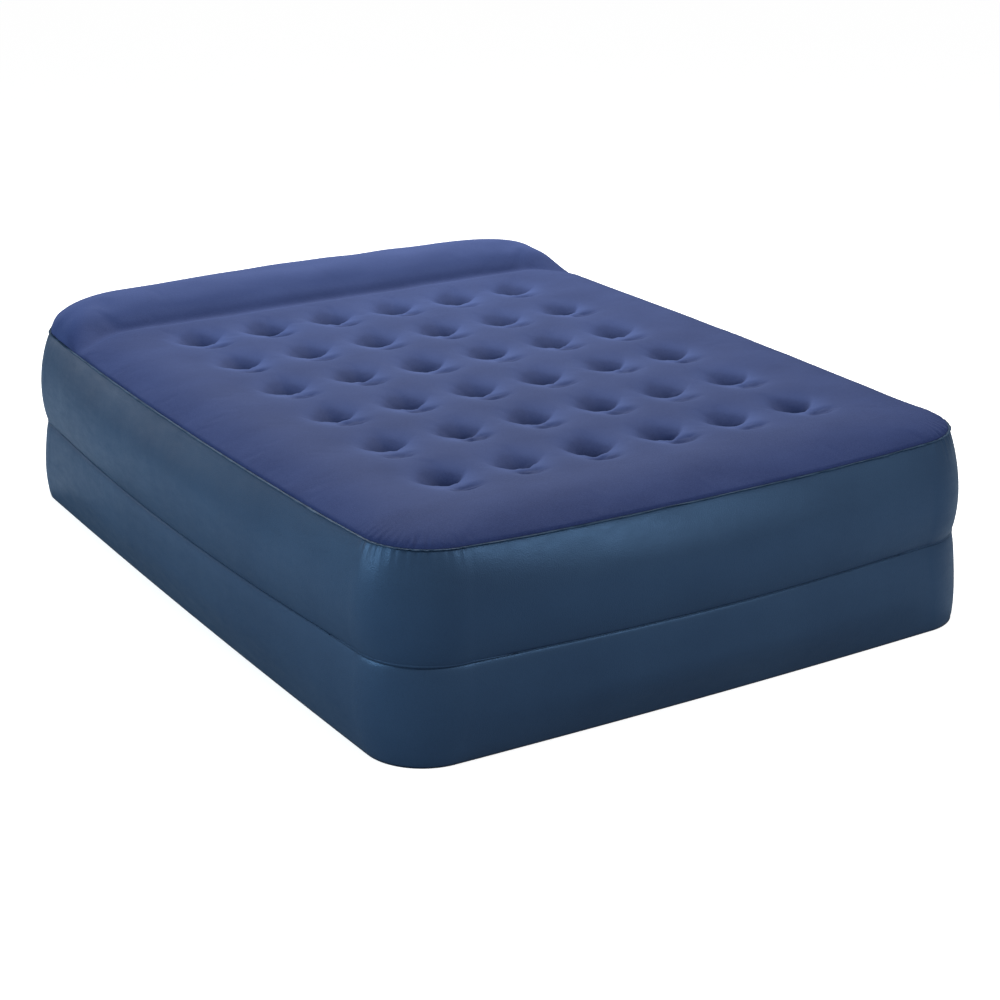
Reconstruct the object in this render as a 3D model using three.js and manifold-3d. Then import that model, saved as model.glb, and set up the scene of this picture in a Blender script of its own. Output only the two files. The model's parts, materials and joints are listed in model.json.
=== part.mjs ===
// A raised, double-height air bed: a flocked top sheet with weld dimples and a built-in pillow, two side
// walls joined at a waist partition, air coils, beams and an inflation valve. Millimetres, +Z up, +Y to the
// pillow, origin on the floor under the middle of the bed.
import * as THREE from 'three';
import { mergeVertices } from 'three/addons/utils/BufferGeometryUtils.js';
import Module from 'manifold-3d';

const wasm = await Module();
wasm.setup();

// Sheets
const SHEET = 0.6; // vinyl thickness
const GAP = 0.35; // room left between neighbouring pieces

// Plan of the top seam; every other level is this outline pushed outwards
const SEAM_HALF_WIDTH = 700;
const SEAM_HALF_LENGTH = 931;
const SEAM_CORNER_RADIUS = 140;
const SEAM_BOW = 21; // how far the middle of each side bulges past its corners
const SEAM_LIP = 7; // welded flange outside the wall

// Heights
const SEAM_Z = 427;
const WAIST_Z = 206;
const CROWN_RISE = 34; // of the sleeping surface above the seam
const EDGE_MARGIN = 146; // width of the rounded edge
const PILLOW_RISE = 88; // of the pillow above the seam
const PILLOW_ROUNDING = 120; // how soon the pillow reaches full height behind its crease
const CREASE_RISE = 24;
const CREASE_Y = 685;
const MARGIN_SHARES = [0.36, 0.52, 0.7, 0.84, 0.94]; // rings across the margin, behind the crease's own ring

// Weld dimples and the coils under them
const ROWS = 6;
const COLUMNS = 6;
const COLUMN_PITCH = 176.6;
const ROW_PITCH = 229.5;
const FIRST_ROW_Y = 516;
const DIMPLE_Z = 436;
const DIMPLE_RIM_RADIUS = 66;
const DIMPLE_RIM_DROP = 5;
const WELD_RADIUS = 40;
const COIL_TOP_RADIUS = 37;
const COIL_FOOT_RADIUS = 50;
const COIL_SEGMENTS = 10;
const FIELD_HEAD_Y = FIRST_ROW_Y + ROW_PITCH / 2; // where the dimple field ends, before the pillow

// Outline subdivision: each side of the bed takes two half corners and one straight stretch
const HALF_ARC_STEPS = 2;
const SIDE_STEPS = 8;
const OUTLINE_STEPS_PER_SIDE = SIDE_STEPS + 2 * HALF_ARC_STEPS;

// Side wall levels: height, how far outside the seam outline, the bow of the sides there, and the radius of
// the corners where they turn tighter than the outline pushed outwards
const UPPER_WALL_LEVELS = [
  { z: SEAM_Z - SHEET - GAP, outset: 0, bow: SEAM_BOW },
  { z: 406, outset: 18, bow: 28 },
  { z: 364, outset: 32, bow: 35 },
  { z: 268, outset: 32, bow: 35 },
  { z: 232, outset: 29, bow: 36 },
  { z: WAIST_Z + SHEET / 2 + GAP, outset: 20, bow: 36 },
];
const LOWER_WALL_LEVELS = [
  { z: WAIST_Z - SHEET / 2 - GAP, outset: 20, bow: 36 },
  { z: 178, outset: 30, bow: 34, corner: 168 },
  { z: 114, outset: 35, bow: 31, corner: 165 },
  { z: 50, outset: 32, bow: 20, corner: 150 },
  { z: 14, outset: 25, bow: 12, corner: 135 },
  { z: SHEET + GAP, outset: 18, bow: 9, corner: 125 },
];
const WAIST_LIP = 3; // the partition's edge shows this far outside the walls
const FLOOR_LIP = 3;

// Partition vents, between neighbouring coils
const VENT_RADIUS = 28;
const VENT_SEGMENTS = 12;

// Lower beams, one under each row of dimples, and the web under the pillow crease
const BEAM_HALF_LENGTH = 610;
const BEAM_VENT_RADIUS = 38;
const BEAM_VENT_X = 300;
const WEB_HALF_LENGTH = 560;
const WEB_TOP_Z = 446;

// Valve, on the head end; its own Y axis points out of the wall and y = 0 is the wall's outer face
const VALVE_SIDE_STEP = 0; // which straight step of the head-end side carries it
const VALVE_Z = 316;
const VALVE_SEGMENTS = 40;
const FLANGE_RADIUS = 40;
const FLANGE_HEIGHT = 1.8;
const NECK_RADIUS = 25;
const NECK_BORE = 21.6;
const NECK_DEPTH = 16;
const LIP_RADIUS = 27;
const LIP_HEIGHT = 6;
const BEVEL = 0.8; // on moulded edges
const DUMP_RADIUS = 21.1;
const DUMP_DEPTH = 8;
const DUMP_HEAD_BASE = 9.4;
const DUMP_HEAD_TOP = 12;
const INFLATION_BORE = 9;
const GASKET_RADIUS = 24;
const GASKET_WIRE = 0.9;
const GASKET_SIDES = 8; // round the wire's own section
const RING_THICKNESS = 0.6;
const RING_OUTER = 29.5;
const PLUG_DEPTH = 5;
const PLUG_RADIUS = 8.6;
const PLUG_TIP_RADIUS = 6.4;
const PLUG_HEAD_RADIUS = 13;
const PLUG_HEAD_THICKNESS = 2.4;
const STRAP_WIDTH = 8;
const STRAP_THICKNESS = 1.2;
const EAR_THICKNESS = 1.6;
const FLAP_RADIUS = 12;
const FLAP_THICKNESS = 0.8;
const CLIP_SIZE = { x: 12, y: 1.4, z: 4 };

// Materials
function material(color, roughness, metalness = 0) {
  return new THREE.MeshStandardMaterial({ color, roughness, metalness });
}
const FLOCK = material(0x4d5a8c, 0.95);
const WALL_VINYL = material(0x2f4a60, 0.4);
const INNER_VINYL = material(0x8b97a6, 0.55);
const MOULDED = material(0x27384a, 0.5);
const SOFT_RUBBER = material(0x16191d, 0.8);
const CLEAR_SILICONE = material(0xc9d2d8, 0.35);

const bed = new THREE.Group();

function addPiece(parent, name, geometry, pieceMaterial) {
  const mesh = new THREE.Mesh(geometry, pieceMaterial);
  mesh.name = name;
  parent.add(mesh);
  return mesh;
}

// The bed's rounded plan outline, pushed outwards by outset; it starts at the middle of the -X -Y corner
// and runs anticlockwise, side by side.
function outline(outset, bow, z, radius = SEAM_CORNER_RADIUS + outset) {
  const halves = [SEAM_HALF_WIDTH + outset, SEAM_HALF_LENGTH + outset];
  const points = [];
  for (let side = 0; side < 4; side += 1) {
    const along = halves[side % 2];
    const out = halves[(side + 1) % 2];
    const turn = (side * Math.PI) / 2;
    for (let step = 0; step < OUTLINE_STEPS_PER_SIDE; step += 1) {
      const [a, b] = sidePoint(step, along, out, radius, bow);
      points.push(new THREE.Vector3(a, b, z).applyAxisAngle(new THREE.Vector3(0, 0, 1), turn));
    }
  }
  return points;
}

// One point of a side that faces -Y: half a corner, the straight stretch with its bow, half a corner.
function sidePoint(step, along, out, radius, bow) {
  const straight = along - radius;
  const lastStraight = HALF_ARC_STEPS + SIDE_STEPS;
  if (step >= HALF_ARC_STEPS && step <= lastStraight) {
    const t = -1 + (2 * (step - HALF_ARC_STEPS)) / SIDE_STEPS;
    return [t * straight, -out - bow * (1 - t * t)];
  }
  const before = step < HALF_ARC_STEPS;
  const steps = before ? HALF_ARC_STEPS - step : step - lastStraight;
  const angle = (steps / HALF_ARC_STEPS) * (Math.PI / 4);
  const sign = before ? -1 : 1;
  return [sign * (straight + radius * Math.sin(angle)), -out + radius * (1 - Math.cos(angle))];
}

// A surface made of closed rings of points, each joined to the next; quads split on their shorter diagonal.
function ringSurface(rings) {
  const count = rings[0].length;
  const points = rings.flat();
  const faces = [];
  for (let ring = 0; ring + 1 < rings.length; ring += 1) {
    for (let i = 0; i < count; i += 1) {
      const a = ring * count + i;
      const b = ring * count + ((i + 1) % count);
      const [c, d] = [a + count, b + count];
      if (points[b].distanceTo(points[c]) < points[a].distanceTo(points[d])) {
        faces.push([a, c, b], [b, c, d]);
      } else {
        faces.push([a, c, d], [a, d, b]);
      }
    }
  }
  return { points, faces };
}

// Merges points that coincide, so that surfaces built patch by patch share their edges.
function weld(surface) {
  const seen = new Map();
  const points = [];
  const index = surface.points.map((p) => {
    const key = [p.x, p.y, p.z].map((v) => Math.round(v * 1000)).join();
    if (!seen.has(key)) {
      seen.set(key, points.length);
      points.push(p);
    }
    return seen.get(key);
  });
  return { points, faces: surface.faces.map((face) => face.map((i) => index[i])) };
}

function vertexNormals({ points, faces }) {
  const normals = points.map(() => new THREE.Vector3());
  for (const [a, b, c] of faces) {
    const edge = points[b].clone().sub(points[a]);
    const faceNormal = edge.cross(points[c].clone().sub(points[a]));
    for (const corner of [a, b, c]) normals[corner].add(faceNormal);
  }
  return normals.map((normal) => normal.normalize());
}

// Turns an open surface, whose faces look outwards, into a closed sheet of the given thickness.
function thicken(surface, thickness) {
  const { points, faces } = weld(surface);
  const count = points.length;
  const normals = vertexNormals({ points, faces });
  const inner = points.map((p, i) => p.clone().addScaledVector(normals[i], -thickness));
  const edges = new Set(faces.flatMap(([a, b, c]) => [`${a},${b}`, `${b},${c}`, `${c},${a}`]));
  const solid = [...faces, ...faces.map(([a, b, c]) => [c + count, b + count, a + count])];
  for (const edge of edges) {
    const [a, b] = edge.split(',').map(Number);
    if (!edges.has(`${b},${a}`)) solid.push([b, a, a + count], [b, a + count, b + count]);
  }
  const geometry = new THREE.BufferGeometry().setFromPoints([...points, ...inner]);
  geometry.setIndex(solid.flat());
  geometry.computeVertexNormals();
  return geometry;
}

function toManifold(geometry) {
  const plain = geometry.clone();
  plain.deleteAttribute('normal');
  plain.deleteAttribute('uv');
  const merged = mergeVertices(plain);
  const vertProperties = new Float32Array(merged.attributes.position.array);
  const triVerts = new Uint32Array(merged.index.array);
  return new wasm.Manifold(new wasm.Mesh({ numProp: 3, vertProperties, triVerts }));
}

function fromManifold(solid) {
  const { vertProperties, triVerts } = solid.getMesh();
  const geometry = new THREE.BufferGeometry();
  geometry.setAttribute('position', new THREE.BufferAttribute(vertProperties, 3));
  geometry.setIndex(new THREE.BufferAttribute(triVerts, 1));
  geometry.computeVertexNormals();
  return geometry;
}

// Height of the top sheet: a rounded edge, the flat sleeping surface, the crease and the pillow.
function quarterEllipse(t) {
  const inward = 1 - THREE.MathUtils.clamp(t, 0, 1);
  return Math.sqrt(1 - inward * inward);
}

function riseAt(y) {
  const dip = THREE.MathUtils.smoothstep(y, FIELD_HEAD_Y, CREASE_Y);
  const swell = THREE.MathUtils.smoothstep(y, CREASE_Y, CREASE_Y + PILLOW_ROUNDING);
  return CROWN_RISE + dip * (CREASE_RISE - CROWN_RISE) + swell * (PILLOW_RISE - CREASE_RISE);
}

function topHeight(y, distanceFromEdge) {
  return SEAM_Z + riseAt(y) * quarterEllipse(distanceFromEdge / EDGE_MARGIN);
}

function dimpleCentre(row, column) {
  const x = (column - (COLUMNS - 1) / 2) * COLUMN_PITCH;
  return new THREE.Vector3(x, FIRST_ROW_Y - row * ROW_PITCH, DIMPLE_Z);
}

// The eight bearings, anticlockwise, of the points round a dimple.
const BEARINGS = [[-1, -1], [0, -1], [1, -1], [1, 0], [1, 1], [0, 1], [-1, 1], [-1, 0]];

// The points where a dimple's rectangular cell meets its neighbours.
function cellRing(centre, z) {
  return BEARINGS.map(([i, j]) => {
    const offset = new THREE.Vector3((i * COLUMN_PITCH) / 2, (j * ROW_PITCH) / 2, 0);
    return offset.add(centre).setZ(z);
  });
}

// The same bearings on a circle round the dimple.
function roundRing(centre, radius, z) {
  return BEARINGS.map(([i, j]) => new THREE.Vector3(i, j, 0).setLength(radius).add(centre).setZ(z));
}

// One dimple with its cell of the sleeping surface, from the flat weld out to the cell's edge.
function dimpleCell(row, column) {
  const centre = dimpleCentre(row, column);
  const crown = SEAM_Z + CROWN_RISE;
  const cell = ringSurface([
    roundRing(centre, WELD_RADIUS, DIMPLE_Z),
    roundRing(centre, DIMPLE_RIM_RADIUS, crown - DIMPLE_RIM_DROP),
    cellRing(centre, crown),
  ]);
  const middle = cell.points.length;
  cell.points.push(centre);
  BEARINGS.forEach((_, i) => cell.faces.push([middle, i, (i + 1) % BEARINGS.length]));
  return cell;
}

// The border of the dimple field, half a cell per step, in the outline's own order.
function fieldBorder() {
  const halfX = (COLUMNS * COLUMN_PITCH) / 2;
  const footY = FIELD_HEAD_Y - ROWS * ROW_PITCH;
  const corners = [[-halfX, footY], [halfX, footY], [halfX, FIELD_HEAD_Y], [-halfX, FIELD_HEAD_Y]];
  const points = [];
  for (let side = 0; side < 4; side += 1) {
    const [x0, y0] = corners[side];
    const [x1, y1] = corners[(side + 1) % 4];
    for (let step = 0; step < OUTLINE_STEPS_PER_SIDE; step += 1) {
      const t = step / OUTLINE_STEPS_PER_SIDE;
      const x = THREE.MathUtils.lerp(x0, x1, t);
      points.push(new THREE.Vector3(x, THREE.MathUtils.lerp(y0, y1, t), SEAM_Z + CROWN_RISE));
    }
  }
  return points;
}

// Everything between the dimple field and the seam, and the seam lip.
function topMargin() {
  const border = fieldBorder();
  const seam = outline(0, SEAM_BOW, SEAM_Z);
  const creaseShare = (CREASE_Y - FIELD_HEAD_Y) / (SEAM_HALF_LENGTH - FIELD_HEAD_Y);
  const rings = [creaseShare, ...MARGIN_SHARES].map((share) => border.map((inner, i) => {
    const point = inner.clone().lerp(seam[i], share);
    return point.setZ(topHeight(point.y, point.distanceTo(seam[i])));
  }));
  return ringSurface([border, ...rings, seam, outline(SEAM_LIP, SEAM_BOW, SEAM_Z)]);
}

// Several surfaces as one.
function join(surfaces) {
  const points = [];
  const faces = [];
  for (const surface of surfaces) {
    const start = points.length;
    points.push(...surface.points);
    faces.push(...surface.faces.map((face) => face.map((i) => i + start)));
  }
  return { points, faces };
}

function topSheet() {
  const cells = [];
  for (let row = 0; row < ROWS; row += 1) {
    for (let column = 0; column < COLUMNS; column += 1) cells.push(dimpleCell(row, column));
  }
  return thicken(join([topMargin(), ...cells]), SHEET);
}

// A side wall: the outline at each of its levels, from the top down.
function wallShell(levels) {
  const rings = levels.map(({ z, outset, bow, corner }) => outline(outset, bow, z, corner));
  return thicken(ringSurface(rings), SHEET);
}

// A flat sheet that reaches past a wall's end level by its lip.
function flatSheet({ outset, bow, corner }, lip, z, holes) {
  const rim = outline(outset + lip, bow, z, corner ? corner + lip : undefined);
  const shape = new THREE.Shape(rim.map((p) => new THREE.Vector2(p.x, p.y)));
  shape.holes.push(...holes);
  const geometry = new THREE.ExtrudeGeometry(shape, { depth: SHEET, bevelEnabled: false });
  return geometry.translate(0, 0, z);
}

function roundHole(x, y, radius) {
  const points = [];
  for (let i = 0; i < VENT_SEGMENTS; i += 1) {
    const angle = (-i / VENT_SEGMENTS) * 2 * Math.PI;
    points.push(new THREE.Vector2(x + radius * Math.cos(angle), y + radius * Math.sin(angle)));
  }
  return new THREE.Path(points);
}

// Vents lie where four coils leave room, in every second gap.
function partitionVents() {
  const vents = [];
  for (let row = 0; row + 1 < ROWS; row += 2) {
    for (let column = 0; column + 1 < COLUMNS; column += 2) {
      const centre = dimpleCentre(row, column);
      vents.push(roundHole(centre.x + COLUMN_PITCH / 2, centre.y - ROW_PITCH / 2, VENT_RADIUS));
    }
  }
  return vents;
}

// A standing web across the bed: a plate in the XZ plane, with vents near its ends.
function crossWeb(y, halfLength, lowZ, highZ) {
  const shape = new THREE.Shape([
    new THREE.Vector2(-halfLength, lowZ),
    new THREE.Vector2(halfLength, lowZ),
    new THREE.Vector2(halfLength, highZ),
    new THREE.Vector2(-halfLength, highZ),
  ]);
  const middle = (lowZ + highZ) / 2;
  for (const x of [-BEAM_VENT_X, BEAM_VENT_X]) shape.holes.push(roundHole(x, middle, BEAM_VENT_RADIUS));
  const geometry = new THREE.ExtrudeGeometry(shape, { depth: SHEET, bevelEnabled: false });
  return geometry.rotateX(Math.PI / 2).translate(0, y + SHEET / 2, 0);
}

// An open tube, a little narrower at the top, that ties one dimple to the partition.
function airCoil(centre) {
  const circle = (radius, z) => {
    const ring = [];
    for (let i = 0; i < COIL_SEGMENTS; i += 1) {
      const angle = (i / COIL_SEGMENTS) * 2 * Math.PI;
      ring.push(new THREE.Vector3(
        centre.x + radius * Math.cos(angle),
        centre.y + radius * Math.sin(angle),
        z,
      ));
    }
    return ring;
  };
  const topZ = DIMPLE_Z - SHEET - GAP;
  const footZ = WAIST_Z + SHEET / 2 + GAP;
  return thicken(ringSurface([circle(COIL_TOP_RADIUS, topZ), circle(COIL_FOOT_RADIUS, footZ)]), SHEET);
}

// The flat facet of the head-end wall that the valve is welded to: its middle and its turn about Z.
function valveSeat() {
  const level = UPPER_WALL_LEVELS.find(({ z }) => z < VALVE_Z);
  const wall = outline(level.outset, level.bow, VALVE_Z);
  const start = 2 * OUTLINE_STEPS_PER_SIDE + HALF_ARC_STEPS + VALVE_SIDE_STEP;
  const a = wall[start];
  const b = wall[start + 1];
  return { point: a.clone().lerp(b, 0.5), angle: Math.atan2(a.y - b.y, a.x - b.x) };
}

// A piece turned about the valve's axis, from a closed profile of radius and height.
function turned(profile) {
  const points = [...profile, profile[0]].map(([r, y]) => new THREE.Vector2(r, y));
  return new THREE.LatheGeometry(points, VALVE_SEGMENTS);
}

// The flange sits on the wall, the neck goes through it and the lip stands out.
function valveBase() {
  return turned([
    [NECK_BORE, -NECK_DEPTH],
    [NECK_RADIUS, -NECK_DEPTH],
    [NECK_RADIUS, GAP],
    [FLANGE_RADIUS, GAP],
    [FLANGE_RADIUS - BEVEL, FLANGE_HEIGHT],
    [LIP_RADIUS, FLANGE_HEIGHT],
    [LIP_RADIUS, LIP_HEIGHT - BEVEL],
    [LIP_RADIUS - BEVEL, LIP_HEIGHT],
    [NECK_BORE, LIP_HEIGHT],
  ]);
}

// The big screw-out collar that lets the air out, with the small inflation bore through it.
function dumpCollar() {
  return turned([
    [INFLATION_BORE, -DUMP_DEPTH],
    [DUMP_RADIUS - BEVEL, -DUMP_DEPTH],
    [DUMP_RADIUS, BEVEL - DUMP_DEPTH],
    [DUMP_RADIUS, DUMP_HEAD_BASE],
    [LIP_RADIUS, DUMP_HEAD_BASE],
    [LIP_RADIUS, DUMP_HEAD_TOP - BEVEL],
    [LIP_RADIUS - BEVEL, DUMP_HEAD_TOP],
    [INFLATION_BORE, DUMP_HEAD_TOP],
  ]);
}

// A ring seal that lies on the base's lip.
function collarGasket() {
  const geometry = new THREE.TorusGeometry(GASKET_RADIUS, GASKET_WIRE, GASKET_SIDES, VALVE_SEGMENTS);
  return geometry.rotateX(Math.PI / 2).translate(0, LIP_HEIGHT + GAP / 2 + GASKET_WIRE, 0);
}

// A thin loose ring under the collar's head, with a standing ear that the plug's strap hangs on.
function strapRing() {
  const base = DUMP_HEAD_BASE - GAP - RING_THICKNESS;
  const outer = new THREE.CylinderGeometry(RING_OUTER, RING_OUTER, RING_THICKNESS, VALVE_SEGMENTS);
  const innerRadius = DUMP_RADIUS + 2 * GAP;
  const inner = new THREE.CylinderGeometry(innerRadius, innerRadius, LIP_HEIGHT, VALVE_SEGMENTS);
  const earHeight = DUMP_HEAD_TOP - base;
  const ear = new THREE.BoxGeometry(STRAP_WIDTH, earHeight, EAR_THICKNESS);
  outer.translate(0, base + RING_THICKNESS / 2, 0);
  inner.translate(0, base, 0);
  ear.translate(0, base + earHeight / 2, EAR_THICKNESS / 2 - RING_OUTER);
  return fromManifold(toManifold(outer).subtract(toManifold(inner)).add(toManifold(ear)));
}

// The tapered stopper of the inflation bore.
function inflationPlug() {
  const headBase = DUMP_HEAD_TOP + GAP;
  const headTop = headBase + PLUG_HEAD_THICKNESS;
  return turned([
    [0, DUMP_HEAD_TOP - PLUG_DEPTH],
    [PLUG_TIP_RADIUS, DUMP_HEAD_TOP - PLUG_DEPTH],
    [PLUG_RADIUS, headBase],
    [PLUG_HEAD_RADIUS, headBase],
    [PLUG_HEAD_RADIUS, headTop - BEVEL],
    [PLUG_HEAD_RADIUS - BEVEL, headTop],
    [0, headTop],
  ]);
}

// The flat strap from the plug's head to the ear.
function plugStrap() {
  const length = RING_OUTER - PLUG_HEAD_RADIUS - GAP;
  const strap = new THREE.BoxGeometry(STRAP_WIDTH, STRAP_THICKNESS, length);
  const y = DUMP_HEAD_TOP + GAP + STRAP_THICKNESS / 2;
  return strap.translate(0, y, length / 2 - RING_OUTER);
}

// The soft disc that air pushes open on its way in, and the clip that holds its lower edge.
function checkFlap() {
  const flap = new THREE.CylinderGeometry(FLAP_RADIUS, FLAP_RADIUS, FLAP_THICKNESS, VALVE_SEGMENTS);
  return flap.translate(0, -DUMP_DEPTH - GAP - FLAP_THICKNESS / 2, 0);
}

function flapClip() {
  const clip = new THREE.BoxGeometry(CLIP_SIZE.x, CLIP_SIZE.y, CLIP_SIZE.z);
  const z = -FLAP_RADIUS - 2 * GAP - CLIP_SIZE.z / 2;
  return clip.translate(0, -DUMP_DEPTH - GAP - CLIP_SIZE.y / 2, z);
}

// The upper wall, with the hole that the valve's neck goes through.
function upperSideWall() {
  const seat = valveSeat();
  const radius = NECK_RADIUS + GAP;
  const hole = new THREE.CylinderGeometry(radius, radius, NECK_DEPTH, VALVE_SEGMENTS);
  hole.rotateZ(seat.angle).translate(...seat.point.toArray());
  return fromManifold(toManifold(wallShell(UPPER_WALL_LEVELS)).subtract(toManifold(hole)));
}

function addSheets() {
  const waist = UPPER_WALL_LEVELS[UPPER_WALL_LEVELS.length - 1];
  const floor = LOWER_WALL_LEVELS[LOWER_WALL_LEVELS.length - 1];
  const partition = flatSheet(waist, WAIST_LIP, WAIST_Z - SHEET / 2, partitionVents());
  addPiece(bed, 'top_sheet', topSheet(), FLOCK);
  addPiece(bed, 'upper_side_wall', upperSideWall(), WALL_VINYL);
  addPiece(bed, 'mid_sheet', partition, INNER_VINYL);
  addPiece(bed, 'lower_side_wall', wallShell(LOWER_WALL_LEVELS), WALL_VINYL);
  addPiece(bed, 'bottom_sheet', flatSheet(floor, FLOOR_LIP, 0, []), WALL_VINYL);
}

function addCoils() {
  for (let row = 0; row < ROWS; row += 1) {
    for (let column = 0; column < COLUMNS; column += 1) {
      const coil = airCoil(dimpleCentre(row, column));
      addPiece(bed, `air_coil_${row + 1}_${column + 1}`, coil, INNER_VINYL);
    }
  }
}

function addWebs() {
  const partitionTop = WAIST_Z + SHEET / 2 + GAP;
  const partitionUnderside = WAIST_Z - SHEET / 2 - GAP;
  const web = crossWeb(CREASE_Y, WEB_HALF_LENGTH, partitionTop, WEB_TOP_Z);
  addPiece(bed, 'pillow_web', web, INNER_VINYL);
  for (let row = 0; row < ROWS; row += 1) {
    const { y } = dimpleCentre(row, 0);
    const beam = crossWeb(y, BEAM_HALF_LENGTH, SHEET + GAP, partitionUnderside);
    addPiece(bed, `lower_beam_${row + 1}`, beam, INNER_VINYL);
  }
}

function addValve() {
  const seat = valveSeat();
  const valve = new THREE.Group();
  valve.position.copy(seat.point);
  valve.rotation.z = seat.angle;
  bed.add(valve);
  addPiece(valve, 'valve_base', valveBase(), MOULDED);
  addPiece(valve, 'dump_collar', dumpCollar(), MOULDED);
  addPiece(valve, 'collar_gasket', collarGasket(), SOFT_RUBBER);
  addPiece(valve, 'strap_ring', strapRing(), MOULDED);
  addPiece(valve, 'inflation_plug', inflationPlug(), MOULDED);
  addPiece(valve, 'plug_strap', plugStrap(), MOULDED);
  addPiece(valve, 'check_flap', checkFlap(), CLEAR_SILICONE);
  addPiece(valve, 'flap_clip', flapClip(), MOULDED);
}

addSheets();
addCoils();
addWebs();
addValve();

export default bed;
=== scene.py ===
"""The looks of a raised air bed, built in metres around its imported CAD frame.

The sheets, coils and webs are soft, so each gets its own fine piece here; the valve's parts are the frame's
own and only get materials. The overall sizes and the places of the dimples, the pillow and the valve come
from the frame.
"""
import json
import math

import bpy
import numpy as np
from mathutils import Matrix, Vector


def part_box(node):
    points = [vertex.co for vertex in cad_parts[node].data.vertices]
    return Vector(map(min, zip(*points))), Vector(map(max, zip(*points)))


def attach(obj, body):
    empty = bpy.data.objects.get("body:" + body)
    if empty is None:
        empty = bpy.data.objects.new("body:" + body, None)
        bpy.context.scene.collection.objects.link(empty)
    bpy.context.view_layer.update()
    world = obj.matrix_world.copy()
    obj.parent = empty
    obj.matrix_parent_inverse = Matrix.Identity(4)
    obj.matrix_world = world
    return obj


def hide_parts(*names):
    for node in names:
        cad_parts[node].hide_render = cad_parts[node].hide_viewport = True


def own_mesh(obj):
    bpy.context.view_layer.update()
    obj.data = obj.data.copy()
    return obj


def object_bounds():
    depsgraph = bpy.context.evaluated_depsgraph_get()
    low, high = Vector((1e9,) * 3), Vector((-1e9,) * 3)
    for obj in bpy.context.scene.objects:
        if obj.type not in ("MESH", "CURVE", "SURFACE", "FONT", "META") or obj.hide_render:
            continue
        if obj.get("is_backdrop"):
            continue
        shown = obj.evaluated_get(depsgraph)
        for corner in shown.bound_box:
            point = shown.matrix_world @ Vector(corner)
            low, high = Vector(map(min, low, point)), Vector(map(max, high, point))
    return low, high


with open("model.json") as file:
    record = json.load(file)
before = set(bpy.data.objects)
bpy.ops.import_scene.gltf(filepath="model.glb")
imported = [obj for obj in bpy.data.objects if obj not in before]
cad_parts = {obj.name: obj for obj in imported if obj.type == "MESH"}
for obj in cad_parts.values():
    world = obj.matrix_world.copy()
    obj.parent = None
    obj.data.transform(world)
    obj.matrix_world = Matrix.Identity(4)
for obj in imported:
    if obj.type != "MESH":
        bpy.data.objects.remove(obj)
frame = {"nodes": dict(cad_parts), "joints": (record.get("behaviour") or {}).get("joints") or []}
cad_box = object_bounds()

# Sheets
FILM = 0.0006  # thickness of one real vinyl sheet
SKIN = 0.0012  # thickness of the sheets that show

# Plan and heights, from the frame
LIP = 0.007  # the CAD top's seam flange
SEAM_BOW = 0.021  # how far the middle of a side stands out past its ends, at the seam
CORNER = 0.140  # corner radius of the top seam
TOP_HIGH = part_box("top_sheet")[1]
HALF_X = TOP_HIGH.x - LIP - SEAM_BOW
HALF_Y = TOP_HIGH.y - LIP - SEAM_BOW
SEAM_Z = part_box("upper_side_wall")[1].z + FILM
WAIST_Z = sum(corner.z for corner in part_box("mid_sheet")) / 2
FLOOR_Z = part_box("bottom_sheet")[0].z
PILLOW_Z = TOP_HIGH.z
CREASE_Y = sum(corner.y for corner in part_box("pillow_web")) / 2

# Top sheet
MARGIN = 0.146  # width of the rounded edge
CROWN_RISE = 0.035  # the sleeping surface above the seam
CREASE_RISE = 0.022  # the pillow's crease above the seam
CREASE_DIP = 0.05  # how far before the crease the surface starts to drop
CREASE_HOLD = 0.010  # the cloth is held this far round the crease
CREASE_HOOK = 0.06  # how far the crease bends towards the foot at both ends
HOOK_FROM = 0.57
HOOK_TO = 0.70
PILLOW_ROUNDING = 0.115  # length of the pillow's front slope
PILLOW_PEAK = 0.003  # the pillow's middle above the CAD's, before the edge rounds it off
PILLOW_DROOP = 0.006  # and how much lower its ends are
PILLOW_EDGE = 0.05  # over this length the flock changes from field to pillow
SLOPE_START = -0.25  # below 0, so the slope leaves the crease at an angle
WARP_REACH = 0.26  # how far inwards the rounded outline bends the grid
GRID_STEP = 0.009
MARGIN_STEPS = 18
SEAM_HOLD = 0.004  # the cloth is held this far from the seam
CORNER_LIFT = 0.004  # the seam rides a little higher at the corners
CORNER_REACH = 0.30  # a corner's effect on heights ends this far from it
CLOTH_CAP = 0.004
CLOTH_FRAMES = 20

# One dimple: a wide basin, a bowl, a swell before the bowl, and a pocket towards the foot
TURN_SPREAD = 0.13
STRENGTH_RANGE = (0.88, 1.12)
DRIFT_SPREAD = 0.005
BASIN_DEPTH = 0.020
BASIN_SIZE = (0.064, 0.078)
BASIN_SHIFT = 0.008  # towards the foot
RIM_SHIFT = 0.020  # towards the foot
RIM_CURVE = 0.012  # the rim's ends lie this much nearer the head, at RIM_HALF from its middle
RIM_HALF = 0.040
BOWL_DEPTH = 0.033
BOWL_WIDTH = 0.032
BOWL_POWER = 1.8
BOWL_FAR_SLOPE = 0.040
FAR_SLOPE_POWER = 1.1
BOWL_NEAR_SLOPE = 0.009
SWELL_HEIGHT = 0.0030
SWELL_SHIFT = 0.014  # from the rim towards the foot
SWELL_SIZE = (0.036, 0.007)
POCKET_DEPTH = 0.008
POCKET_AT = (0.014, -0.067)
POCKET_SIZE = (0.031, 0.023)
POCKET_TAPER = 0.25
POCKET_POWER = 1.5
WELD_SIZE = (0.035, 0.020)
WELD_POWER = 4

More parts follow.
